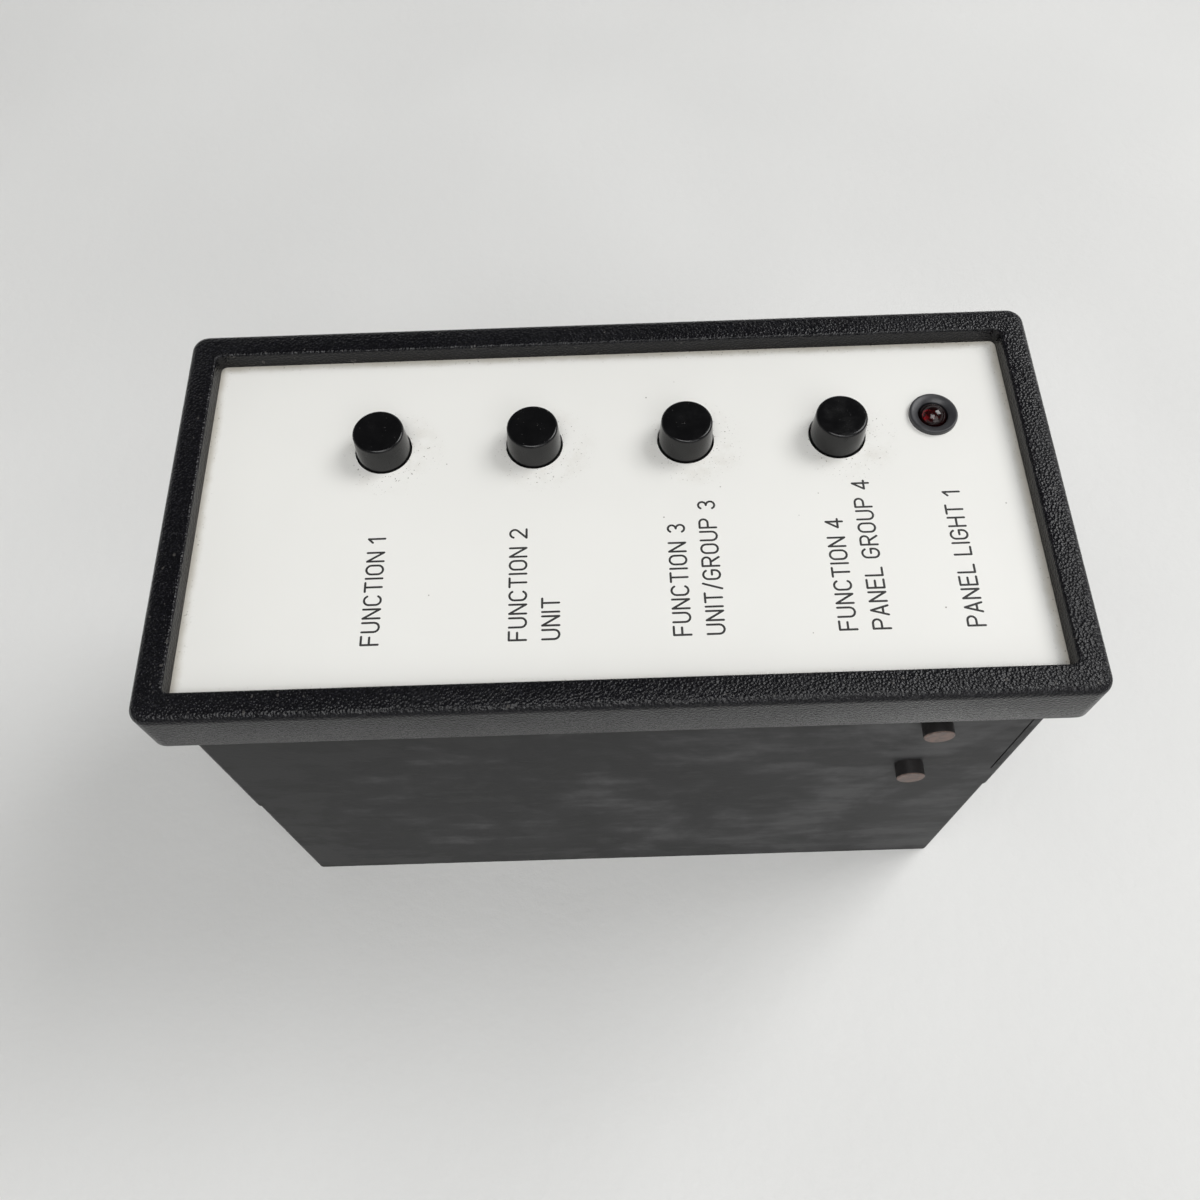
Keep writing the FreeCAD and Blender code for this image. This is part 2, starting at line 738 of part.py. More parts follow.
def make_all():
    os.makedirs("parts", exist_ok=True)
    save("front_bezel", [make_bezel()])
    save("front_plate", [make_plate()])
    save("case_shell", [make_case()])
    save("clamp_studs", [make_stud(side, height) for side in (-1, 1) for height in stud_heights])

    for number, x in enumerate(button_places, 1):
        save("button_cap_%d" % number, [make_cap(x)])
        save("plunger_%d" % number, [make_plunger(x)])
        save("contact_bridge_%d" % number, [make_bridge(x)])
        save("return_spring_%d" % number, [make_spring(x)])
        save("switch_housing_%d" % number, [make_switch_housing(x)])
        save("switch_base_%d" % number, [make_switch_base(x)])
        save("switch_pins_%d" % number, make_switch_pins(x))

    save("lamp", [make_lamp()])
    save("lamp_holder", [make_lamp_holder()])
    save("lamp_retainer", [make_lamp_retainer()])
    save("lamp_spacer", [make_lamp_spacer()])
    save("lamp_leads", make_lamp_leads())

    save("front_board", [make_front_board()])
    save("front_board_screws", [make_screw(x, y, front_board_front, 1, screw_length)
                                for x, y in column_places])
    save("main_board", [make_main_board()])
    save("terminal_board", [make_terminal_board()])
    strip, pins = make_front_link()
    save("front_link_strip", [strip])
    save("front_link_pins", pins)
    strip, pins = make_rear_link()
    save("rear_link_strip", [strip])
    save("rear_link_pins", pins)

    save("rear_cover", [make_rear_cover()])
    save("rear_cover_screws", [make_screw(x, y, rear_cover_rear, -1,
                                          screw_length + rear_cover_thickness + board_thickness)
                               for x, y in column_places])
    for name, side in (("near", -1), ("far", 1)):
        save("terminal_block_" + name, [make_terminal_block(side)])
        save("terminal_clamps_" + name, [make_terminal_clamp(x, side) for x in terminal_places])
    save("terminal_screws", [make_terminal_screw(x, side) for side in (-1, 1)
                             for x in terminal_places])

    row_floor = main_board_bottom + link_overlap + row_gap
    relay_z = row_floor + relay_size[2] / 2
    chip_half = chip_size[2] / 2 + chip_leg_size
    chip_z = relay_z + relay_size[2] / 2 + row_gap + chip_half
    resistor_z = chip_z + chip_half + row_gap + resistor_radius
    save("relay_horn", [make_relay(-relay_size[0], relay_z)])
    save("relay_alarm", [make_relay(relay_size[0], relay_z)])
    save("logic_chips", [make_chip((index - (chip_count - 1) / 2) * chip_pitch, chip_z)
                         for index in range(chip_count)])
    save("smoothing_capacitor", [make_capacitor(0, relay_z)])
    regulator_x = 1.5 * relay_size[0] + 2 * row_gap + regulator_size[0] / 2
    save("regulator", [make_regulator(regulator_x, row_floor + lead_run + link_pin_size)])
    save("resistors", [make_axial_part(side * x, resistor_z, resistor_radius, resistor_length)
                       for side in (-1, 1) for x in axial_places])
    save("diodes", [make_axial_part(side * x, resistor_z + axial_pitch, diode_radius, diode_length)
                    for side in (-1, 1) for x in axial_places])


make_all()
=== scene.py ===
"""Looks of the alarm push-button module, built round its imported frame.

Everything is in metres, in the frame's own axes: +Z out of the front plate, +X along the long side
towards the lamp, +Y from the lettering to the buttons.
"""

import json
import logging
import math
from dataclasses import dataclass
from enum import Enum
from typing import Iterable, Sequence

import bmesh
import bpy
from mathutils import Matrix, Vector


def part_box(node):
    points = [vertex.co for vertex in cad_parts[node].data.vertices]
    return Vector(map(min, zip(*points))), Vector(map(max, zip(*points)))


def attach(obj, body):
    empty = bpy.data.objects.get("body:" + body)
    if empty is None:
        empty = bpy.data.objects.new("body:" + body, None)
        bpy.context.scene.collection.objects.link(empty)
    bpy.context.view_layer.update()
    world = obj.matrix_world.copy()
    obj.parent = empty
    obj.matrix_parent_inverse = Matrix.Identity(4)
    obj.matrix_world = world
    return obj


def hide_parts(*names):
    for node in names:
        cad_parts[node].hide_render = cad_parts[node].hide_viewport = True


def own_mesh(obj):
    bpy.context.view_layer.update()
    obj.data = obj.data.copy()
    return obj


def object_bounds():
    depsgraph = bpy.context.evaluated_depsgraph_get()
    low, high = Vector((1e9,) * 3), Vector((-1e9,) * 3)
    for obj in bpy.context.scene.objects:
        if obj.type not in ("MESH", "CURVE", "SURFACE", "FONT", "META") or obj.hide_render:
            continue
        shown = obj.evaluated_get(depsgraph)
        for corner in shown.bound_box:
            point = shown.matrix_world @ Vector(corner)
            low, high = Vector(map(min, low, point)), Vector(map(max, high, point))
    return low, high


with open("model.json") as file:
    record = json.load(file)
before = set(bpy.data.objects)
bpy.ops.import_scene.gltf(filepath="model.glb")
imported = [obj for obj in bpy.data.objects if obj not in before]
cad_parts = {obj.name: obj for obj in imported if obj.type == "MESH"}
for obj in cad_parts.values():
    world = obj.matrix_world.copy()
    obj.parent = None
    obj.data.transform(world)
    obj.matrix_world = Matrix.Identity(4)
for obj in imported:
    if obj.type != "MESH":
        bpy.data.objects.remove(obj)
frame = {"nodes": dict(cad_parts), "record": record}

LOG = logging.getLogger("push_button_module")
MM = 0.001
CAD_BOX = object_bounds()
HOUSING = "housing"
FRAME_RAIL = 4.7 * MM
BUTTONS = range(1, 5)
Colour = tuple[float, float, float]


class Slot(Enum):
    """Names of some of the record's material slots."""

    BEZEL = "bezel_plastic"
    PLATE = "plate_white"
    STUD = "stud_copper"
    BUTTON = "button_plastic"
    LAMP = "lamp_red"
    LAMP_RING = "lamp_ring"
    METAL = "contact_metal"
    SPRING = "spring_steel"


# ---------------------------------------------------------------- node trees


class Shader:
    """A material's node tree, with short calls for the nodes that the finishes share."""

    def __init__(self, name: str) -> None:
        """Starts a material that holds one principled shader.

        Args:
            name: the material's name.
        """
        self.material = bpy.data.materials.new(name)
        self.material.use_nodes = True
        self.tree = self.material.node_tree
        self.body = self.tree.nodes["Principled BSDF"]
        self.place = self.tree.nodes.new("ShaderNodeTexCoord").outputs["Object"]

    def link(self, source: bpy.types.NodeSocket, target: bpy.types.NodeSocket) -> None:
        """Joins two sockets."""
        self.tree.links.new(source, target)

    def feed(self, socket: bpy.types.NodeSocket, value: object) -> None:
        """Sets a socket to a constant, or joins it to another socket.

        Args:
            socket: the input socket.
            value: a number, a colour, a vector or an output socket.
        """
        if isinstance(value, bpy.types.NodeSocket):
            self.link(value, socket)
        elif isinstance(value, tuple) and len(value) == 3 and socket.type == "RGBA":
            socket.default_value = (*value, 1.0)
        else:
            socket.default_value = value

    def set(self, name: str, value: object) -> None:
        """Sets one of the principled shader's inputs."""
        self.feed(self.body.inputs[name], value)

    def stretched(self, scale: Sequence[float], shift: Sequence[float] = (0, 0, 0)) -> bpy.types.NodeSocket:
        """Returns the object's coordinates, scaled along each axis and then shifted."""
        node = self.tree.nodes.new("ShaderNodeMapping")
        self.link(self.place, node.inputs["Vector"])
        node.inputs["Scale"].default_value = scale
        node.inputs["Location"].default_value = shift
        return node.outputs["Vector"]

    def noise(self, size: float, detail: float = 2.0, roughness: float = 0.5, distortion: float = 0.0,
              place: bpy.types.NodeSocket | None = None) -> bpy.types.NodeSocket:
        """Returns a noise value from 0 to 1.

        Args:
            size: width of one feature, in metres.
            detail: octaves of finer noise.
            roughness: weight of the finer noise.
            distortion: how much the pattern is twisted.
            place: coordinates, or the object's own.

        Returns:
            The noise node's value.
        """
        node = self.tree.nodes.new("ShaderNodeTexNoise")
        self.link(place or self.place, node.inputs["Vector"])
        node.inputs["Scale"].default_value = 1.0 / size
        node.inputs["Detail"].default_value = detail
        node.inputs["Roughness"].default_value = roughness
        node.inputs["Distortion"].default_value = distortion
        return node.outputs["Fac"]

    def cells(self, size: float) -> bpy.types.NodeSocket:
        """Returns the distance to the nearest point of a cell pattern.

        Args:
            size: width of one cell, in metres.

        Returns:
            The voronoi node's distance.
        """
        node = self.tree.nodes.new("ShaderNodeTexVoronoi")
        self.link(self.place, node.inputs["Vector"])
        node.inputs["Scale"].default_value = 1.0 / size
        return node.outputs["Distance"]

    def ramp(self, value: bpy.types.NodeSocket, low: float, high: float, start: float = 0.0,
             end: float = 1.0) -> bpy.types.NodeSocket:
        """Returns value carried smoothly from the range low..high to the range start..end."""
        node = self.tree.nodes.new("ShaderNodeMapRange")
        node.interpolation_type = "SMOOTHSTEP"
        self.link(value, node.inputs["Value"])
        for name, number in (("From Min", low), ("From Max", high), ("To Min", start), ("To Max", end)):
            node.inputs[name].default_value = number
        return node.outputs["Result"]

    def math(self, operation: str, first: object, second: object = 0.0) -> bpy.types.NodeSocket:
        """Returns the result of a math node."""
        node = self.tree.nodes.new("ShaderNodeMath")
        node.operation = operation
        self.feed(node.inputs[0], first)
        self.feed(node.inputs[1], second)
        return node.outputs["Value"]

    def product(self, *values: object) -> bpy.types.NodeSocket:
        """Returns the product of several values."""
        result = values[0]
        for value in values[1:]:
            result = self.math("MULTIPLY", result, value)
        return result

    def blend(self, amount: object, first: object, second: object) -> bpy.types.NodeSocket:
        """Returns a colour between two colours."""
        node = self.tree.nodes.new("ShaderNodeMix")
        node.data_type = "RGBA"
        self.feed(node.inputs["Factor"], amount)
        self.feed(node.inputs["A"], first)
        self.feed(node.inputs["B"], second)
        return node.outputs["Result"]

    def axes(self) -> tuple[bpy.types.NodeSocket, bpy.types.NodeSocket, bpy.types.NodeSocket]:
        """Returns the object's x, y and z coordinates."""
        node = self.tree.nodes.new("ShaderNodeSeparateXYZ")
        self.link(self.place, node.inputs["Vector"])
        return node.outputs["X"], node.outputs["Y"], node.outputs["Z"]

    def distance(self, point: Sequence[float]) -> bpy.types.NodeSocket:
        """Returns the distance from a point in the object's coordinates, in metres."""
        node = self.tree.nodes.new("ShaderNodeVectorMath")
        node.operation = "DISTANCE"
        self.link(self.place, node.inputs[0])
        node.inputs[1].default_value = point
        return node.outputs["Value"]

    def bump(self, *layers: tuple[bpy.types.NodeSocket, float]) -> None:
        """Raises the surface by layers of a height value and its depth in metres."""
        normal = None
        for height, depth in layers:
            node = self.tree.nodes.new("ShaderNodeBump")
            node.inputs["Distance"].default_value = depth
            self.link(height, node.inputs["Height"])
            if normal is not None:
                self.link(normal, node.inputs["Normal"])
            normal = node.outputs["Normal"]
        self.link(normal, self.body.inputs["Normal"])


# ---------------------------------------------------------------- finishes


@dataclass(frozen=True)
class GrainedPlastic:
    """Black plastic moulded with a fine leather grain, with a painted highlight that lightens its high
    spots.
    """

    name: str
    colour: Colour = (0.0035, 0.0035, 0.0045)
    dust: Colour = (0.19, 0.18, 0.165)
    grain: float = 0.00042
    depth: float = 0.00011
    roughness: float = 0.21
    painted_sparkle_gain: float = 5.0

    def make(self) -> bpy.types.Material:
        """Returns the finished material."""
        shader = Shader(self.name)
        fine = shader.noise(self.grain * 0.75, detail=2.0, roughness=0.6)
        pebble = shader.cells(self.grain)
        wander = shader.noise(0.018, detail=3.0)
        # painted highlight: the high spots of the grain take a lighter colour, standing in for glints of
        # light on them
        high = shader.ramp(fine, 0.5, 0.72)
        colour = shader.blend(shader.product(high, 0.6), self.colour,
                              tuple(self.painted_sparkle_gain * part for part in self.colour))
        specks = shader.ramp(shader.noise(0.0011, detail=1.0), 0.73, 0.78)
        colour = shader.blend(shader.product(specks, 0.25), colour, self.dust)
        shader.set("Base Color", colour)
        shader.set("Roughness", shader.ramp(wander, 0.3, 0.7, self.roughness - 0.06, self.roughness + 0.08))
        shader.set("Specular IOR Level", 0.27)
        shader.bump((pebble, self.depth), (fine, self.depth * 0.35))
        return shader.material


@dataclass(frozen=True)
class CloudedPlastic:
    """Smooth black plastic gone cloudy with age and handling, with faint scratches.

    The cloud is the width of one patch in metres, and the drift makes the light patches denser, so the
    plastic grows lighter and rougher towards +X.
    """

    name: str
    dark: Colour = (0.022, 0.022, 0.0225)
    light: Colour = (0.090, 0.090, 0.091)
    scratch: Colour = (0.012, 0.012, 0.012)
    cloud: float = 0.024
    drift: float = 0.9

    def make(self) -> bpy.types.Material:
        """Returns the finished material."""
        shader = Shader(self.name)
        clouds = shader.noise(self.cloud, detail=6.0, roughness=0.62, distortion=0.35)
        wisps = shader.noise(0.005, detail=5.0, roughness=0.65, place=shader.stretched((0.35, 1.0, 1.0)))
        mixed = shader.math("ADD", shader.product(clouds, 0.62), shader.product(wisps, 0.38))
        # lighter and rougher steadily towards +X
        mixed = shader.math("ADD", mixed, shader.product(shader.axes()[0], self.drift))
        amount = shader.ramp(mixed, 0.43, 0.67)
        strokes = shader.noise(0.0009, detail=2.0, place=shader.stretched((0.09, 1.0, 1.0)))
        scratches = shader.ramp(strokes, 0.70, 0.76)
        colour = shader.blend(amount, self.dark, self.light)
        colour = shader.blend(shader.product(scratches, 0.35), colour, self.scratch)
        shader.set("Base Color", colour)
        shader.set("Roughness", shader.ramp(mixed, 0.38, 0.62, 0.34, 0.62))
        shader.set("Specular IOR Level", 0.06)
        skin = shader.noise(0.0007, detail=2.0)
        shader.bump((skin, 0.000012), (clouds, 0.00008), (scratches, -0.00002))
        return shader.material


@dataclass(frozen=True)
class WhiteLaminate:
    """Warm white satin front plate with a band of painted shade and grime along the frame, grime in its
    corners and crumbs beside the buttons.

    The drift is how far the crumbs lie from the middle of each hole.
    """

    name: str
    half_length: float
    half_width: float
    holes: tuple[Vector, ...]
    colour: Colour = (0.835, 0.830, 0.795)
    # brown grime colour, also used for the painted shade along the frame
    grime_and_shade: Colour = (0.40, 0.35, 0.26)
    crumb: Colour = (0.11, 0.085, 0.06)
    drift: tuple[float, float] = (1.6 * MM, -0.8 * MM)

    def edge_distance(self, shader: Shader) -> bpy.types.NodeSocket:
        """Returns how far a point lies inside the frame's opening, in metres."""
        x, y, _ = shader.axes()
        from_end = shader.math("SUBTRACT", self.half_length, shader.math("ABSOLUTE", x))
        from_side = shader.math("SUBTRACT", self.half_width, shader.math("ABSOLUTE", y))
        return shader.math("MINIMUM", from_end, from_side)

    def near_holes(self, shader: Shader, reach: float) -> bpy.types.NodeSocket:
        """Returns 1 beside the holes, fading to 0 at the given reach from their centres."""
        nearest = None
        for hole in self.holes:
            away = shader.distance(hole + Vector((*self.drift, 0.0)))
            nearest = away if nearest is None else shader.math("MINIMUM", nearest, away)
        return shader.ramp(nearest, reach * 0.55, reach, 1.0, 0.0)

    def make(self) -> bpy.types.Material:
        """Returns the finished material."""
        shader = Shader(self.name)
        edge = self.edge_distance(shader)
        wander = shader.noise(0.006, detail=4.0, roughness=0.65)
        ragged = shader.math("ADD", edge, shader.product(wander, -0.0016))
        # painted shade mixed with grime: a ragged dark band along the frame's edge, where the frame's inner
        # wall shades the plate
        rim = shader.ramp(ragged, -0.0008, 0.0009, 1.0, 0.0)
        tone = shader.ramp(shader.noise(0.05, detail=2.0), 0.35, 0.65)
        colour = shader.blend(tone, tuple(0.975 * part for part in self.colour), self.colour)
        colour = shader.blend(shader.product(rim, 0.55), colour, self.grime_and_shade)
        crumbs = shader.ramp(shader.noise(0.00042, detail=2.0, roughness=0.7), 0.655, 0.70)
        beside = self.near_holes(shader, 0.0095)
        colour = shader.blend(shader.product(crumbs, beside, 0.85), colour, self.crumb)
        stain = shader.product(beside, shader.ramp(wander, 0.45, 0.7), 0.16)
        colour = shader.blend(stain, colour, self.grime_and_shade)
        specks = shader.ramp(shader.cells(0.0052), 0.022, 0.030, 1.0, 0.0)
        rare = shader.ramp(shader.noise(0.011, detail=1.0), 0.52, 0.60)
        colour = shader.blend(shader.product(specks, rare, 0.7), colour, self.crumb)
        corner = shader.ramp(edge, 0.0002, 0.0022, 1.0, 0.0)
        colour = shader.blend(shader.product(crumbs, corner, 0.7), colour, self.crumb)
        shader.set("Base Color", colour)
        shader.set("Roughness", shader.ramp(wander, 0.3, 0.7, 0.38, 0.50))
        shader.bump((shader.noise(0.0006, detail=2.0), 0.000006))
        return shader.material


@dataclass(frozen=True)
class GlossMoulding:
    """Polished moulded plastic with fine hairlines and specks of dust."""

    name: str
    colour: Colour = (0.0018, 0.0018, 0.0022)
    speck: Colour = (0.35, 0.34, 0.32)
    haze: Colour = (0.5, 0.5, 0.5)
    roughness: float = 0.17
    dust: float = 0.08

    def make(self) -> bpy.types.Material:
        """Returns the finished material."""
        shader = Shader(self.name)
        hairs = shader.noise(0.0005, detail=3.0, place=shader.stretched((0.25, 1.0, 1.0)))
        film = shader.noise(0.003, detail=4.0, roughness=0.7)
        specks = shader.ramp(shader.noise(0.00035, detail=1.0), 0.74, 0.79)
        colour = shader.blend(shader.product(specks, self.dust), self.colour, self.speck)
        colour = shader.blend(shader.product(film, 0.006), colour, self.haze)
        shader.set("Base Color", colour)
        shader.set("Roughness", shader.ramp(film, 0.3, 0.75, self.roughness - 0.05, self.roughness + 0.12))
        shader.set("Specular IOR Level", 0.38)
        shader.bump((hairs, 0.000006), (specks, 0.00001))
        return shader.material


@dataclass(frozen=True)
class PlainMoulding:
    """Satin moulded plastic with a slight orange peel and faint flow shading."""

    name: str
    colour: Colour
    roughness: float = 0.45

    def make(self) -> bpy.types.Material:
        """Returns the finished material."""
        shader = Shader(self.name)
        flow = shader.noise(0.007, detail=4.0, roughness=0.6)
        peel = shader.noise(0.0006, detail=2.0)
        darker = tuple(0.78 * part for part in self.colour)
        shader.set("Base Color", shader.blend(shader.ramp(flow, 0.35, 0.65), darker, self.colour))
        shader.set("Roughness", shader.ramp(flow, 0.3, 0.7, self.roughness - 0.05, self.roughness + 0.07))
        shader.bump((peel, 0.000018))
        return shader.material


@dataclass(frozen=True)
class WorkedMetal:
    """Turned or drawn metal with tool marks and a dulled film."""

    name: str
    colour: Colour
    tarnish: Colour
    roughness: float = 0.32
    cover: float = 0.5

    def make(self) -> bpy.types.Material:
        """Returns the finished material."""
        shader = Shader(self.name)
        film = shader.noise(0.0012, detail=5.0, roughness=0.65)
        marks = shader.noise(0.00025, detail=2.0, place=shader.stretched((1.0, 1.0, 0.12)))
        amount = shader.product(shader.ramp(film, 0.38, 0.66), self.cover)
        shader.set("Base Color", shader.blend(amount, self.colour, self.tarnish))
        shader.set("Metallic", 1.0)
        shader.set("Roughness", shader.ramp(film, 0.3, 0.7, self.roughness - 0.06, self.roughness + 0.18))
        shader.bump((marks, 0.000012))
        return shader.material


@dataclass(frozen=True)
class AgedCopper:
    """Stud finish: pinkish brown on the end face and nearly black down the sides."""

    name: str
    face_y: float
    face: Colour = (0.205, 0.145, 0.125)
    stain: Colour = (0.105, 0.076, 0.065)
    side: Colour = (0.020, 0.018, 0.018)

    def make(self) -> bpy.types.Material:
        """Returns the finished material."""
        shader = Shader(self.name)
        _, y, _ = shader.axes()
        out = shader.ramp(shader.math("ABSOLUTE", y), self.face_y - 0.00022, self.face_y - 0.00008)
        film = shader.noise(0.0011, detail=5.0, roughness=0.7)
        end = shader.blend(shader.ramp(film, 0.35, 0.62), self.stain, self.face)
        shader.set("Base Color", shader.blend(out, self.side, end))
        shader.set("Metallic", shader.ramp(out, 0.0, 1.0, 0.25, 0.45))
        shader.set("Roughness", shader.ramp(film, 0.3, 0.7, 0.42, 0.60))
        shader.bump((film, 0.00006), (shader.noise(0.0003), 0.00002))
        return shader.material


@dataclass(frozen=True)
class BoardLaminate:
    """Circuit board laminate with a woven core showing through its green lacquer."""

    name: str
    colour: Colour = (0.030, 0.105, 0.040)
    core: Colour = (0.01, 0.05, 0.015)

    def make(self) -> bpy.types.Material:
        """Returns the finished material."""
        shader = Shader(self.name)
        weave = shader.cells(0.0009)
        tracks = shader.ramp(shader.noise(0.006, detail=0.0, place=shader.stretched((0.3, 1.0, 1.0))),
                             0.52, 0.54)
        lighter = tuple(1.7 * part for part in self.colour)
        colour = shader.blend(tracks, self.colour, lighter)
        shader.set("Base Color", shader.blend(shader.product(weave, 0.4), colour, self.core))
        shader.set("Roughness", shader.ramp(weave, 0.2, 0.8, 0.30, 0.42))
        shader.bump((tracks, 0.00004), (weave, 0.00001))
        return shader.material


@dataclass(frozen=True)
class RedResin:
    """Clear dark red lamp resin."""

    name: str
    colour: Colour = (0.095, 0.002, 0.004)

    def make(self) -> bpy.types.Material:
        """Returns the finished material."""
        shader = Shader(self.name)
        haze = shader.noise(0.0008, detail=3.0)
        darker = tuple(0.6 * part for part in self.colour)
        shader.set("Base Color", shader.blend(haze, darker, self.colour))
        shader.set("Roughness", shader.ramp(haze, 0.3, 0.7, 0.05, 0.14))
        shader.set("Transmission Weight", 0.92)
        shader.set("IOR", 1.5)
        shader.bump((haze, 0.00001))
        return shader.material


# ---------------------------------------------------------------- mesh helpers


def put_in_scene(name: str, bm: bmesh.types.BMesh, finish: bpy.types.Material, body: str,
                 stands_for: Sequence[str] = (), sharp: float = 35.0) -> bpy.types.Object:
    """Turns a finished bmesh into a piece that rides on a body.

    Args:
        name: the piece's name.
        bm: the mesh, in the frame's coordinates; it is freed.
        finish: the piece's material.
        body: the frame's body that it moves with.
        stands_for: frame nodes that it replaces.
        sharp: angle in degrees from which an edge stays sharp.

    Returns:
        The new object.
    """
    bmesh.ops.remove_doubles(bm, verts=bm.verts, dist=1e-7)
    bmesh.ops.recalc_face_normals(bm, faces=bm.faces)
    mesh = bpy.data.meshes.new(name)
    for face in bm.faces:
        face.smooth = True
    bm.to_mesh(mesh)
    bm.free()
    mesh.set_sharp_from_angle(angle=math.radians(sharp))
    mesh.materials.append(finish)
    piece = bpy.data.objects.new(name, mesh)
    bpy.context.scene.collection.objects.link(piece)
    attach(piece, body)
    if stands_for:
        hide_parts(*stands_for)
    LOG.info("%s: %d faces on %s", name, len(mesh.polygons), body)
    return piece


@dataclass(frozen=True)
class Ring:
    """One level outline of a frame: a rounded rectangle about the Z axis."""

    half_x: float
    half_y: float
    radius: float
    height: float

    def draw(self, bm: bmesh.types.BMesh, segments: int, level: float) -> list[bmesh.types.BMEdge]:
        """Adds the outline to a mesh.

        Args:
            bm: the mesh.
            segments: edges in each corner.
            level: the height that it is drawn at.

        Returns:
            The outline's edges.
        """
        grid = bmesh.ops.create_grid(bm, x_segments=1, y_segments=1, size=1.0)
        corners = grid["verts"]
        bmesh.ops.scale(bm, verts=corners, vec=(self.half_x, self.half_y, 1.0))
        bmesh.ops.translate(bm, verts=corners, vec=(0.0, 0.0, level))
        bmesh.ops.bevel(bm, geom=corners, offset=self.radius, offset_type="OFFSET", segments=segments,
                        profile=0.5, affect="VERTICES", material=-1)
        edges = [edge for edge in bm.edges if edge.link_faces]
        bmesh.ops.delete(bm, geom=list(bm.faces), context="FACES_ONLY")
        return edges


def skin_rings(rings: Sequence[Ring], segments: int = 8, spread: float = 0.01) -> bmesh.types.BMesh:
    """Returns a closed tube-like mesh through a closed run of outlines.

    The outlines are drawn and joined one above the other, so that two at the same height are joined
    corner to corner, and then each one is moved to its height.

    Args:
        rings: the outlines in order; the last one is joined to the first.
        segments: edges in each corner.
        spread: the step between outlines while they are joined, in metres.

    Returns:
        The new mesh.
    """
    bm = bmesh.new()
    loops = [ring.draw(bm, segments, index * spread) for index, ring in enumerate(rings)]
    for index, loop in enumerate(loops):
        following = loops[(index + 1) % len(loops)]
        bmesh.ops.bridge_loops(bm, edges=loop + following)
    for index, (ring, loop) in enumerate(zip(rings, loops)):
        points = list({point for edge in loop for point in edge.verts})
        bmesh.ops.translate(bm, verts=points, vec=(0.0, 0.0, ring.height - index * spread))
    return bm


def turned(profile: Sequence[tuple[float, float]], centre: Vector, steps: int = 72,
           axis: str = "Z") -> bmesh.types.BMesh:
    """Returns a body turned from a profile.

    Args:
        profile: pairs of radius and height above the centre; a closed body starts and ends on the axis.
        centre: the place of height zero on the axis.
        steps: faces round the body.
        axis: "Z", or "-Y" for a body that points to the near side.

    Returns:
        The new mesh.
    """
    bm = bmesh.new()
    line = [bm.verts.new((radius, 0.0, height)) for radius, height in profile]
    edges = [bm.edges.new(pair) for pair in zip(line, line[1:])]
    bmesh.ops.spin(bm, geom=line + edges, cent=(0, 0, 0), axis=(0, 0, 1), angle=2 * math.pi, steps=steps,
                   use_merge=True, use_duplicate=False)
    bmesh.ops.remove_doubles(bm, verts=bm.verts, dist=1e-7)
    if axis == "-Y":
        bmesh.ops.rotate(bm, verts=bm.verts, cent=(0, 0, 0), matrix=Matrix.Rotation(math.pi / 2, 3, "X"))
    bmesh.ops.translate(bm, verts=bm.verts, vec=centre)
    return bm


def quarter(centre: tuple[float, float], radius: float, start: float, end: float,
            steps: int = 6) -> list[tuple[float, float]]:
    """Returns points on an arc, from the start angle to the end angle in degrees, both included."""
    return [(centre[0] + radius * math.cos(math.radians(start + (end - start) * i / steps)),
             centre[1] + radius * math.sin(math.radians(start + (end - start) * i / steps)))
            for i in range(steps + 1)]


def smooth_spans(places: Sequence[Vector], limit: float = 40.0) -> list[list[Vector]]:
    """Returns a line of points cut into spans at its sharp corners.

    Args:
        places: the line's points.
        limit: angle in degrees from which a turn counts as sharp.

    Returns:
        The spans; each starts at the point that the one before it ends at.
    """
    spans = [[places[0]]]
    for index, place in enumerate(places[1:], 1):
        if (place - places[index - 1]).length < 1e-7:
            continue
        spans[-1].append(place)
        if index < len(places) - 1:
            turn = (place - places[index - 1]).angle(places[index + 1] - place, 0.0)
            if turn > math.radians(limit):
                spans.append([place])
    return [span for span in spans if len(span) > 1]


def middle(node: str) -> Vector:
    """Returns the centre of a frame node's box."""
    low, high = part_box(node)
    return (low + high) / 2


def underside(node: str) -> Vector:
    """Returns the middle of the underside of a frame node's box."""
    low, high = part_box(node)
    return Vector(((low.x + high.x) / 2, (low.y + high.y) / 2, low.z))


# ---------------------------------------------------------------- front frame


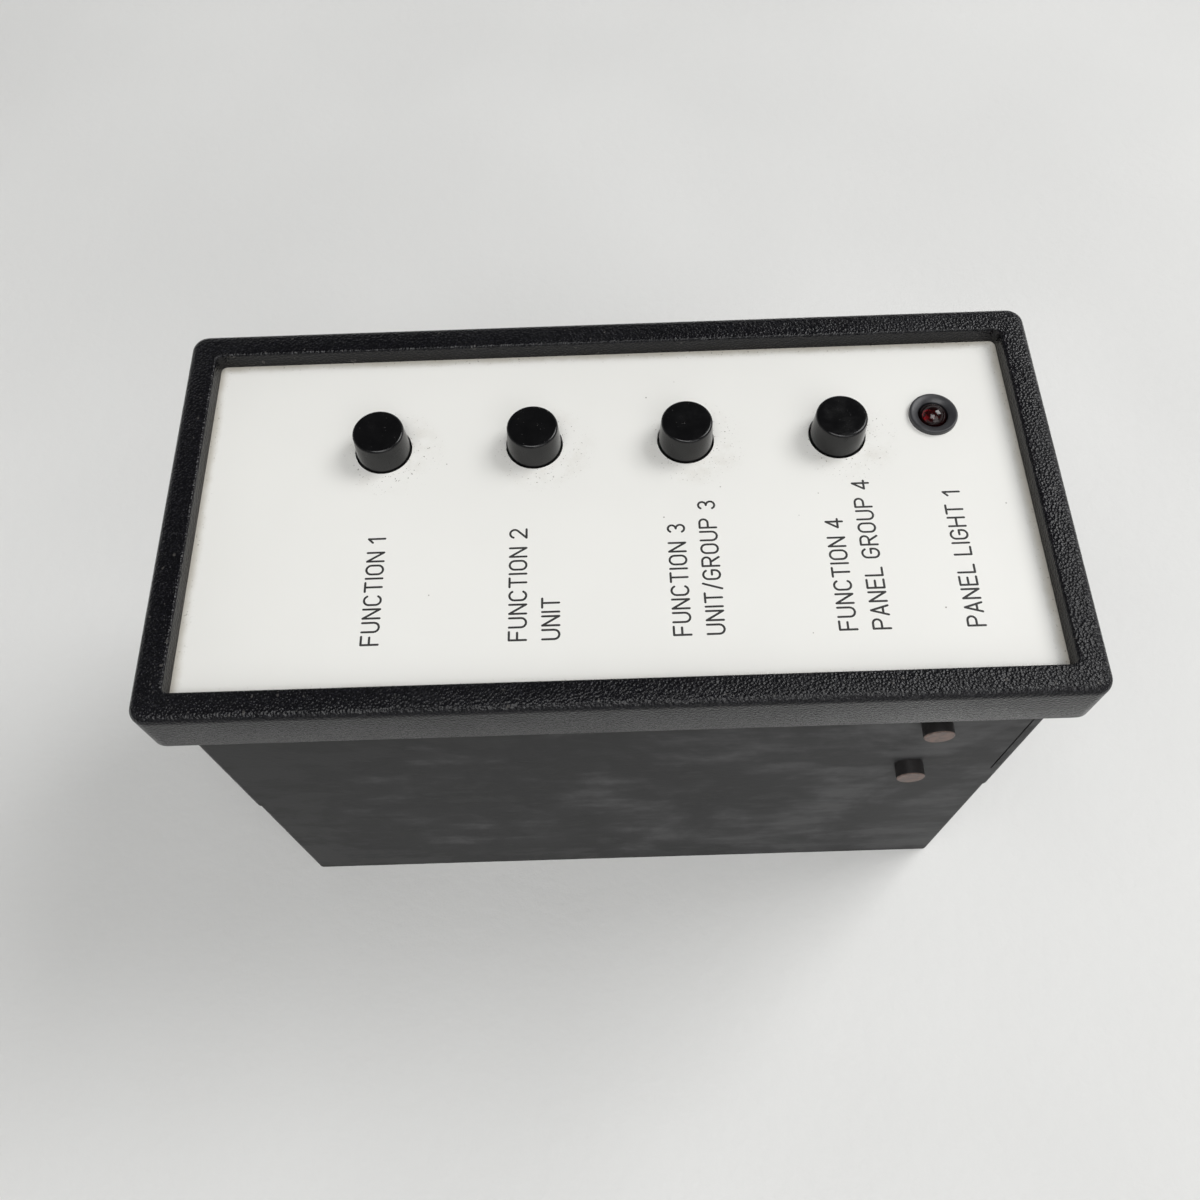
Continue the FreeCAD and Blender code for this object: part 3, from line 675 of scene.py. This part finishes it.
@dataclass
class FrontFrame:
    """The raised frame round the front plate, with its rounded rims."""

    rail: float = FRAME_RAIL
    corner: float = 2.8 * MM
    opening_corner: float = 1.0 * MM
    outer_rim: float = 1.3 * MM
    inner_rim: float = 0.45 * MM
    rear_rim: float = 0.35 * MM
    plate_gap: float = 0.02 * MM
    pocket_gap: float = 0.10 * MM
    rim_steps: int = 6

    def rings(self) -> list[Ring]:
        """Returns the frame's outlines, from the rear edge up, over the front and down inside."""
        low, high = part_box("front_bezel")
        plate_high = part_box("front_plate")[1]
        half_x, half_y = high.x, high.y
        step = 90 / self.rim_steps
        rings = []
        for i in range(3):
            angle = math.radians(45 * i)
            inset = self.rear_rim * (1 - math.sin(angle))
            rings.append(Ring(half_x - inset, half_y - inset, self.corner - inset,
                              low.z + self.rear_rim * (1 - math.cos(angle))))
        for i in range(self.rim_steps + 1):
            angle = math.radians(step * i)
            inset = self.outer_rim * (1 - math.cos(angle))
            rings.append(Ring(half_x - inset, half_y - inset, self.corner - inset,
                              high.z - self.outer_rim * (1 - math.sin(angle))))
        for i in range(self.rim_steps + 1):
            angle = math.radians(step * i)
            inset = self.rail - self.inner_rim * (1 - math.sin(angle))
            rings.append(Ring(half_x - inset, half_y - inset, self.opening_corner + self.rail - inset,
                              high.z - self.inner_rim * (1 - math.cos(angle))))
        floor = plate_high.z + self.plate_gap
        rings.append(Ring(half_x - self.rail, half_y - self.rail, self.opening_corner, floor))
        pocket_x = plate_high.x + 2 * self.pocket_gap
        pocket_y = plate_high.y + 2 * self.pocket_gap
        pocket_corner = self.opening_corner + self.pocket_gap
        rings.append(Ring(pocket_x, pocket_y, pocket_corner, floor))
        rings.append(Ring(pocket_x, pocket_y, pocket_corner, low.z))
        return rings

    def build(self) -> None:
        """Makes the frame and its grained finish."""
        finish = GrainedPlastic("bezel_grain").make()
        put_in_scene("front_frame", skin_rings(self.rings()), finish, HOUSING,
                     ["front_bezel"], sharp=40)


# ---------------------------------------------------------------- lettering


class StrokeLetters:
    """A plain engraver's alphabet: each letter is a few strokes on a cell one cap height tall."""

    WIDTH = 0.60
    GAP = 0.29
    SPACE = 0.42

    def __init__(self) -> None:
        """Draws the letters and figures."""
        w = self.WIDTH
        r = w / 2
        b = 0.25
        top = quarter((r, 1 - r), r, 25, 180, 8)
        bowl = quarter((r, r), r, 180, 335, 8)
        head = [(0, 0), (0, 1)] + quarter((w - b, 1 - b), b, 90, -90, 8) + [(0, 1 - 2 * b)]
        self.shapes: dict[str, tuple[float, list[list[tuple[float, float]]]]] = {
            "A": (w, [[(0, 0), (r, 1), (w, 0)], [(r * 0.3, 0.3), (w - r * 0.3, 0.3)]]),
            "C": (w, [top + bowl]),
            "E": (w * 0.9, [[(w * 0.9, 1), (0, 1), (0, 0), (w * 0.9, 0)], [(0, 0.52), (w * 0.8, 0.52)]]),
            "F": (w * 0.9, [[(w * 0.9, 1), (0, 1), (0, 0)], [(0, 0.52), (w * 0.8, 0.52)]]),
            "G": (w, [top + quarter((r, r), r, 180, 360, 8) + [(w, 0.48), (r, 0.48)]]),
            "H": (w, [[(0, 0), (0, 1)], [(w, 0), (w, 1)], [(0, 0.52), (w, 0.52)]]),
            "I": (0.0, [[(0, 0), (0, 1)]]),
            "L": (w * 0.85, [[(0, 1), (0, 0), (w * 0.85, 0)]]),
            "N": (w, [[(0, 0), (0, 1), (w, 0), (w, 1)]]),
            "O": (w, [quarter((r, 1 - r), r, 0, 180, 10) + quarter((r, r), r, 180, 360, 10)
                      + [(w, 1 - r)]]),
            "P": (w, [head]),
            "R": (w, [head, [(w * 0.45, 0.5), (w, 0)]]),
            "T": (w, [[(0, 1), (w, 1)], [(r, 0), (r, 1)]]),
            "U": (w, [[(0, 1)] + quarter((r, r), r, 180, 360, 8) + [(w, 1)]]),
            "/": (0.36, [[(0, -0.06), (0.36, 1.06)]]),
            "1": (0.26, [[(0, 0.74), (0.26, 1), (0.26, 0)]]),
            "2": (w, [quarter((r, 0.72), 0.28, 165, -35, 9) + [(0, 0), (w, 0)]]),
            "3": (w, [quarter((r, 0.76), 0.24, 155, -90, 9), quarter((r, 0.26), 0.26, 90, -155, 9)]),
            "4": (w, [[(w * 0.7, 0), (w * 0.7, 1), (0, 0.3), (w, 0.3)]]),
        }

    def strokes(self, words: str) -> list[list[tuple[float, float]]]:
        """Returns the strokes of a line of words, starting at the origin, in cap heights."""
        cursor = 0.0
        result = []
        for letter in words:
            if letter == " ":
                cursor += self.SPACE
                continue
            width, lines = self.shapes[letter]
            result += [[(cursor + x, y) for x, y in line] for line in lines]
            cursor += width + self.GAP
        return result


@dataclass
class Legends:
    """Plain placeholder words beside the buttons and the lamp."""

    cap_height: float = 2.62 * MM
    stroke: float = 0.36 * MM
    proud: float = 0.03 * MM
    line_pitch: float = 5.1 * MM
    start_inset: float = 8.1 * MM
    lamp_shift: float = 0.5 * MM
    words: tuple[tuple[str, ...], ...] = (
        ("FUNCTION 1",),
        ("FUNCTION 2", "UNIT"),
        ("FUNCTION 3", "UNIT/GROUP 3"),
        ("FUNCTION 4", "PANEL GROUP 4"),
        ("PANEL LIGHT 1",),
    )

    def centres(self) -> list[float]:
        """Returns the place along X of each label's middle."""
        buttons = [middle(f"button_cap_{number}").x for number in BUTTONS]
        return buttons + [middle("lamp").x + self.lamp_shift]

    def lines(self) -> Iterable[tuple[str, float]]:
        """Yields each line of words with the X of its baseline."""
        for centre, label in zip(self.centres(), self.words):
            first = centre - self.line_pitch * (len(label) - 1) / 2 + self.cap_height / 2
            for index, words in enumerate(label):
                yield words, first + index * self.line_pitch

    def stroke_end(self) -> bpy.types.Mesh:
        """Returns the ball that rounds the end of a stroke."""
        bm = bmesh.new()
        bmesh.ops.create_uvsphere(bm, u_segments=12, v_segments=6, radius=self.stroke / 2)
        mesh = bpy.data.meshes.new("stroke_end")
        bm.to_mesh(mesh)
        bm.free()
        return mesh

    def build(self) -> None:
        """Makes all the words as one thin inlay on the plate."""
        plate_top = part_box("front_plate")[1].z
        start_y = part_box("front_bezel")[0].y + FRAME_RAIL + self.start_inset
        letters = StrokeLetters()
        curve = bpy.data.curves.new("legend_strokes", "CURVE")
        curve.dimensions = "3D"
        curve.bevel_depth = self.stroke / 2
        curve.bevel_resolution = 2
        curve.use_fill_caps = True
        ends = bmesh.new()
        ball = self.stroke_end()
        for words, base_x in self.lines():
            for stroke in letters.strokes(words):
                places = [Vector((base_x - up * self.cap_height, start_y + along * self.cap_height, 0.0))
                          for along, up in stroke]
                for span in smooth_spans(places):
                    spline = curve.splines.new("POLY")
                    spline.points.add(len(span) - 1)
                    for point, place in zip(spline.points, span):
                        point.co = (*place, 1.0)
                    for place in (span[0], span[-1]):
                        ball.transform(Matrix.Translation(place))
                        ends.from_mesh(ball)
                        ball.transform(Matrix.Translation(-place))
        carrier = bpy.data.objects.new("legend_carrier", curve)
        mesh = bpy.data.meshes.new_from_object(carrier)
        bpy.data.objects.remove(carrier)
        ends.from_mesh(mesh)
        bpy.data.meshes.remove(mesh)
        bpy.data.meshes.remove(ball)
        bmesh.ops.scale(ends, verts=ends.verts, vec=(1.0, 1.0, self.proud / (self.stroke / 2)))
        bmesh.ops.translate(ends, verts=ends.verts, vec=(0.0, 0.0, plate_top))
        ink = PlainMoulding("legend_ink", (0.022, 0.021, 0.020), 0.55).make()
        put_in_scene("legend_words", ends, ink, HOUSING)


# ---------------------------------------------------------------- buttons


@dataclass
class PushButton:
    """One round push-button cap with its retaining flange and stem socket."""

    number: int
    foot: float = 4.5 * MM
    top: float = 4.2 * MM
    rim: float = 0.45 * MM
    dish: float = 0.06 * MM
    flange_height: float = 1.1 * MM
    socket: float = 2.5 * MM

    def profile(self) -> list[tuple[float, float]]:
        """Returns the cap's half section as pairs of radius and height above its lowest point."""
        low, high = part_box(f"button_cap_{self.number}")
        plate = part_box("front_plate")[1].z - low.z
        tall = high.z - low.z
        flange = (high.x - low.x) / 2
        socket_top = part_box(f"plunger_{self.number}")[1].z - low.z
        crown = [(0.0, tall - self.dish), (self.top * 0.45, tall - self.dish * 0.7),
                 (self.top - 2.2 * self.rim, tall - self.dish * 0.1)]
        rim = quarter((self.top - self.rim, tall - self.rim), self.rim, 90, 4)
        side = [(self.foot, plate), (self.foot, self.flange_height), (flange, self.flange_height),
                (flange, 0.0), (self.socket, 0.0), (self.socket, socket_top), (0.0, socket_top)]
        return crown + rim + side

    def build(self, finish: bpy.types.Material) -> None:
        """Makes the cap.

        Args:
            finish: the cap's material.
        """
        cap = f"button_cap_{self.number}"
        put_in_scene(f"push_button_{self.number}", turned(self.profile(), underside(cap), steps=96), finish,
                     f"button_{self.number}", [cap], sharp=38)


@dataclass
class CoilSpring:
    """The coil under one button's plunger."""

    number: int
    wire: float = 0.2 * MM
    turns: int = 5
    turn_steps: int = 24

    def build(self, finish: bpy.types.Material) -> None:
        """Makes the coil on its seat.

        Args:
            finish: the wire's material.
        """
        node = f"return_spring_{self.number}"
        low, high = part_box(node)
        length = high.z - low.z
        steps = self.turns * self.turn_steps
        rise = (length - 2 * self.wire) / steps
        bm = bmesh.new()
        wire = bmesh.ops.create_circle(bm, segments=12, radius=self.wire)["verts"]
        bmesh.ops.rotate(bm, verts=wire, cent=(0, 0, 0), matrix=Matrix.Rotation(math.pi / 2, 3, "X"))
        bmesh.ops.translate(bm, verts=wire, vec=((high.x - low.x) / 2 - self.wire, 0.0, self.wire))
        bmesh.ops.spin(bm, geom=wire + list(bm.edges), cent=(0, 0, 0), axis=(0, 0, 1), dvec=(0, 0, rise),
                       angle=2 * math.pi * self.turns, steps=steps, use_merge=False, use_duplicate=False)
        bmesh.ops.holes_fill(bm, edges=[edge for edge in bm.edges if edge.is_boundary])
        seat = underside(node)
        bmesh.ops.translate(bm, verts=bm.verts, vec=seat)
        coil = put_in_scene(f"coil_spring_{self.number}", bm, finish, HOUSING, [node])
        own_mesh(coil)


# ---------------------------------------------------------------- lamp


@dataclass
class SignalLamp:
    """The red lamp: its dished holder, its resin body, and the cup and posts inside."""

    ring_outer_round: float = 0.22 * MM
    ring_rim: float = 0.42 * MM
    ring_dish: float = 0.45 * MM
    ring_lip: float = 0.12 * MM
    ring_gap: float = 0.005 * MM
    plate_gap: float = 0.01 * MM
    barrel_wall: float = 0.6 * MM
    lens_gap: float = 0.05 * MM
    flange_reach: float = 0.45 * MM
    flange_height: float = 1.1 * MM
    cup_shift: float = 0.35 * MM
    cup_radius: float = 0.85 * MM
    cup_depth: float = 0.5 * MM
    post: float = 0.5 * MM
    post_spread: float = 0.7874 * MM
    post_foot: float = 0.2 * MM
    cup_below_top: float = 2.6 * MM
    wire_rise: float = 0.3 * MM

    def build_holder(self) -> None:
        """Makes the holder's ring and barrel."""
        low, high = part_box("lamp_holder")
        outer = (high.x - low.x) / 2
        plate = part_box("front_plate")[1].z - low.z
        tall = high.z - low.z
        lens = self.lens_radius() + self.lens_gap
        barrel = lens + self.barrel_wall
        profile = [(lens, 0.0), (barrel, 0.0), (barrel, plate - self.plate_gap),
                   (outer, plate + self.ring_gap)]
        profile += quarter((outer - self.ring_outer_round, tall - self.ring_outer_round),
                           self.ring_outer_round, 0, 90)
        profile += [(outer - self.ring_rim, tall), (lens + self.ring_lip, tall - self.ring_dish),
                    (lens, tall - self.ring_dish - self.ring_lip), (lens, 0.0)]
        finish = PlainMoulding("lamp_ring_plastic", (0.034, 0.034, 0.038), 0.40).make()
        put_in_scene("lamp_ring", turned(profile, underside("lamp_holder")), finish, HOUSING,
                     ["lamp_holder"])

    def lens_radius(self) -> float:
        """Returns the resin body's radius, which is the half width of the dome above its flange."""
        low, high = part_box("lamp")
        return (high.x - low.x) / 2 - self.flange_reach

    def build_lens(self) -> None:
        """Makes the resin body with its dome and flange."""
        low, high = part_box("lamp")
        flange = (high.x - low.x) / 2
        radius = self.lens_radius()
        tall = high.z - low.z
        dome = quarter((0.0, tall - radius), radius, 90, 0, 14)
        profile = dome + [(radius, self.flange_height), (flange, self.flange_height), (flange, 0.0),
                          (0.0, 0.0)]
        profile[0] = (0.0, tall)  # the dome's top lies exactly on the axis
        put_in_scene("lamp_lens", turned(profile, underside("lamp")), RedResin("lamp_resin").make(),
                     HOUSING, ["lamp"])

    def build_lead_frame(self) -> None:
        """Makes the reflector cup, its post and the wire post inside the resin."""
        low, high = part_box("lamp")
        cup_z = high.z - self.cup_below_top
        post_bottom = low.z + self.post_foot
        spot = Vector(((low.x + high.x) / 2, (low.y + high.y) / 2, 0.0))
        profile = [(0.0, 0.0), (self.cup_radius * 0.55, 0.0), (self.cup_radius, self.cup_depth),
                   (self.cup_radius * 1.12, self.cup_depth), (self.cup_radius * 0.8, -self.cup_depth),
                   (0.0, -self.cup_depth)]
        bm = turned(profile, spot + Vector((-self.cup_shift, 0, cup_z)), steps=36)
        for offset, top in ((-self.post_spread, cup_z - self.cup_depth),
                            (self.post_spread, cup_z + self.wire_rise)):
            made = bmesh.ops.create_cube(bm, size=1.0)["verts"]
            bmesh.ops.scale(bm, verts=made, vec=(self.post, self.post, top - post_bottom))
            bmesh.ops.translate(bm, verts=made, vec=spot + Vector((offset, 0, (top + post_bottom) / 2)))
        finish = WorkedMetal("lamp_frame_metal", (0.62, 0.58, 0.55), (0.30, 0.27, 0.25), 0.25).make()
        put_in_scene("lamp_lead_frame", bm, finish, HOUSING)

    def build(self) -> None:
        """Makes the whole lamp."""
        self.build_holder()
        self.build_lens()
        self.build_lead_frame()


# ---------------------------------------------------------------- studs


@dataclass
class ClampStuds:
    """The turned studs on the case's long sides, each with a small edge chamfer."""

    chamfer: float = 0.18 * MM
    radius: float = 2.45 * MM
    seat: float = 33.3 * MM
    inner_head: float = 3.2 * MM

    def build(self) -> None:
        """Makes the four studs as one group, each in place."""
        low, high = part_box("clamp_studs")
        reach = high.y
        xs = (high.x - self.inner_head, low.x + self.inner_head)
        zs = (high.z - self.inner_head, low.z + self.inner_head)
        length = reach - self.seat
        profile = [(0.0, 0.0), (self.radius, 0.0), (self.radius, length - self.chamfer),
                   (self.radius - self.chamfer, length), (self.radius * 0.5, length),
                   (0.0, length)]
        bm = bmesh.new()
        for side, x in zip((-1, 1), xs):
            for z in zs:
                one = turned(profile, Vector((0, 0, 0)), steps=56, axis="-Y")
                if side > 0:
                    bmesh.ops.rotate(one, verts=one.verts, cent=(0, 0, 0),
                                     matrix=Matrix.Rotation(math.pi, 3, "Z"))
                bmesh.ops.translate(one, verts=one.verts, vec=(x, side * self.seat, z))
                mesh = bpy.data.meshes.new("stud")
                one.to_mesh(mesh)
                one.free()
                bm.from_mesh(mesh)
                bpy.data.meshes.remove(mesh)
        finish = AgedCopper("stud_copper", reach).make()
        put_in_scene("side_studs", bm, finish, HOUSING, ["clamp_studs"])


# ---------------------------------------------------------------- carried-over nodes


class NodeFinishes:
    """Dresses the frame's own nodes, by the slot that each one has in the record."""

    def __init__(self) -> None:
        """Makes one finish for each slot."""
        buttons = tuple(Vector((middle(f"button_cap_{n}").x, middle(f"button_cap_{n}").y,
                                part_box("front_plate")[1].z)) for n in BUTTONS)
        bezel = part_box("front_bezel")[1]
        self.by_slot = {
            "bezel_plastic": GrainedPlastic("bezel_grain_hidden"),
            "plate_white": WhiteLaminate("plate_laminate", bezel.x - FRAME_RAIL, bezel.y - FRAME_RAIL,
                                         buttons),
            "case_plastic": CloudedPlastic("case_plastic"),
            "stud_copper": WorkedMetal("stud_metal", (0.42, 0.25, 0.2), (0.12, 0.08, 0.07)),
            "button_plastic": GlossMoulding("button_gloss_hidden"),
            "plunger_plastic": PlainMoulding("plunger_plastic", (0.62, 0.60, 0.54)),
            "contact_metal": WorkedMetal("tinned_metal", (0.72, 0.70, 0.66), (0.42, 0.39, 0.34)),
            "spring_steel": WorkedMetal("spring_wire", (0.56, 0.56, 0.55), (0.35, 0.33, 0.3), 0.25, 0.3),
            "switch_plastic": PlainMoulding("switch_plastic", (0.03, 0.03, 0.033)),
            "lamp_red": RedResin("lamp_resin_hidden"),
            "lamp_ring": PlainMoulding("lamp_ring_hidden", (0.035, 0.035, 0.038)),
            "circuit_board": BoardLaminate("board_laminate"),
            "screw_steel": WorkedMetal("zinc_screw", (0.60, 0.59, 0.56), (0.33, 0.31, 0.27), 0.3, 0.6),
            "link_plastic": PlainMoulding("link_plastic", (0.02, 0.02, 0.02)),
            "cover_plastic": PlainMoulding("cover_plastic", (0.030, 0.030, 0.032), 0.5),
            "terminal_plastic": PlainMoulding("terminal_plastic", (0.085, 0.085, 0.09), 0.42),
            "clamp_brass": WorkedMetal("clamp_brass", (0.66, 0.50, 0.26), (0.33, 0.24, 0.12), 0.3, 0.5),
            "relay_plastic": PlainMoulding("relay_plastic", (0.05, 0.09, 0.22), 0.3),
            "chip_plastic": PlainMoulding("chip_plastic", (0.016, 0.016, 0.017), 0.5),
            "capacitor_sleeve": GlossMoulding("capacitor_sleeve", (0.012, 0.03, 0.14), roughness=0.25),
            "resistor_lacquer": PlainMoulding("resistor_lacquer", (0.42, 0.30, 0.17), 0.4),
        }

    def dress(self) -> None:
        """Gives each node the finish of its slot."""
        made = {slot: finish.make() for slot, finish in self.by_slot.items()}
        for entry in frame["record"]["subparts"]:
            node = frame["nodes"][entry["node"]]
            for holder in node.material_slots:
                holder.material = made[entry["material_slot"]]
            LOG.info("%s: finish %s", entry["node"], entry["material_slot"])


# ---------------------------------------------------------------- studio


@dataclass
class Studio:
    """The pale floor, the soft lights and the camera."""

    floor_size: float = 6.0
    floor_colour: Colour = (0.790, 0.790, 0.775)
    floor_drop: float = 0.02 * MM
    wall_level: float = 0.55
    ceiling_level: float = 0.06
    wall_top: float = 0.30
    ceiling_edge: float = 0.58
    eye: tuple[float, float, float] = (-0.80 * MM, -96.1 * MM, 151.0 * MM)
    tilt: tuple[float, float, float] = (27.197, 1.322, -1.419)
    lens: float = 33.61
    lights: tuple[tuple[str, tuple[float, float, float], float, float], ...] = (
        ("right_softbox", (0.93, 0.42, 1.20), 0.75, 11.8),
        ("overhead_softbox", (-0.15, -0.52, 1.45), 0.8, 9.6),
        ("front_softbox", (0.45, -0.95, 1.05), 1.0, 4.8),
    )

    def floor(self) -> None:
        """Makes the floor, a little uneven in tone."""
        bm = bmesh.new()
        bmesh.ops.create_grid(bm, x_segments=1, y_segments=1, size=self.floor_size / 2)
        bmesh.ops.translate(bm, verts=bm.verts, vec=(0.0, 0.0, -self.floor_drop))
        mesh = bpy.data.meshes.new("floor")
        bm.to_mesh(mesh)
        bm.free()
        shader = Shader("floor_foam")
        tone = shader.noise(0.11, detail=2.0)
        darker = tuple(0.95 * part for part in self.floor_colour)
        shader.set("Base Color", shader.blend(shader.ramp(tone, 0.3, 0.7), darker, self.floor_colour))
        shader.set("Roughness", 0.85)
        shader.bump((shader.noise(0.0035, detail=4.0, roughness=0.6), 0.0002))
        mesh.materials.append(shader.material)
        obj = bpy.data.objects.new("floor", mesh)
        bpy.context.scene.collection.objects.link(obj)

    def surroundings(self) -> None:
        """Makes a room with pale walls all round and a dim ceiling."""
        world = bpy.data.worlds.new("pale_room")
        world.use_nodes = True
        tree = world.node_tree
        back = tree.nodes["Background"]
        back.inputs["Color"].default_value = (1.0, 1.0, 1.0, 1.0)
        place = tree.nodes.new("ShaderNodeTexCoord")
        parts = tree.nodes.new("ShaderNodeSeparateXYZ")
        fade = tree.nodes.new("ShaderNodeMapRange")
        fade.interpolation_type = "SMOOTHSTEP"
        for name, number in (("From Min", self.wall_top), ("From Max", self.ceiling_edge),
                             ("To Min", self.wall_level), ("To Max", self.ceiling_level)):
            fade.inputs[name].default_value = number
        tree.links.new(place.outputs["Generated"], parts.inputs["Vector"])
        tree.links.new(parts.outputs["Z"], fade.inputs["Value"])
        tree.links.new(fade.outputs["Result"], back.inputs["Strength"])
        bpy.context.scene.world = world

    def lamps(self) -> None:
        """Hangs the soft lights, each aimed at the front plate."""
        target = Vector((0.0, 0.0, CAD_BOX[1][2]))
        for name, place, size, power in self.lights:
            data = bpy.data.lights.new(name, "AREA")
            data.shape = "SQUARE"
            data.size = size
            data.energy = power
            lamp = bpy.data.objects.new(name, data)
            lamp.location = place
            lamp.rotation_euler = (target - Vector(place)).to_track_quat("-Z", "Y").to_euler()
            bpy.context.scene.collection.objects.link(lamp)

    def camera(self) -> None:
        """Sets the camera above the near long side, looking down on the front."""
        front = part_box("front_bezel")[1].z
        data = bpy.data.cameras.new("camera")
        data.sensor_width = 36.0
        data.lens = self.lens
        data.clip_start = 0.01
        camera = bpy.data.objects.new("camera", data)
        camera.location = Vector(self.eye) + Vector((0.0, 0.0, front))
        camera.rotation_euler = tuple(math.radians(angle) for angle in self.tilt)
        bpy.context.scene.collection.objects.link(camera)
        bpy.context.scene.camera = camera

    def build(self) -> None:
        """Makes the whole set."""
        self.floor()
        self.surroundings()
        self.lamps()
        self.camera()
        bpy.context.scene.view_settings.view_transform = "Standard"


def corners(box: Sequence[Sequence[float]]) -> list[list[float]]:
    """Returns a box as plain lists of numbers."""
    return [[float(number) for number in corner] for corner in box]


def main() -> None:
    logging.basicConfig(level=logging.INFO, format="%(name)s %(message)s")
    Studio().build()
    NodeFinishes().dress()
    FrontFrame().build()
    Legends().build()
    gloss = GlossMoulding("button_gloss").make()
    wire = WorkedMetal("coil_wire", (0.56, 0.56, 0.55), (0.35, 0.33, 0.3), 0.25, 0.3).make()
    for number in BUTTONS:
        PushButton(number).build(gloss)
        CoilSpring(number).build(wire)
    SignalLamp().build()
    ClampStuds().build()


if __name__ == "__main__":
    main()
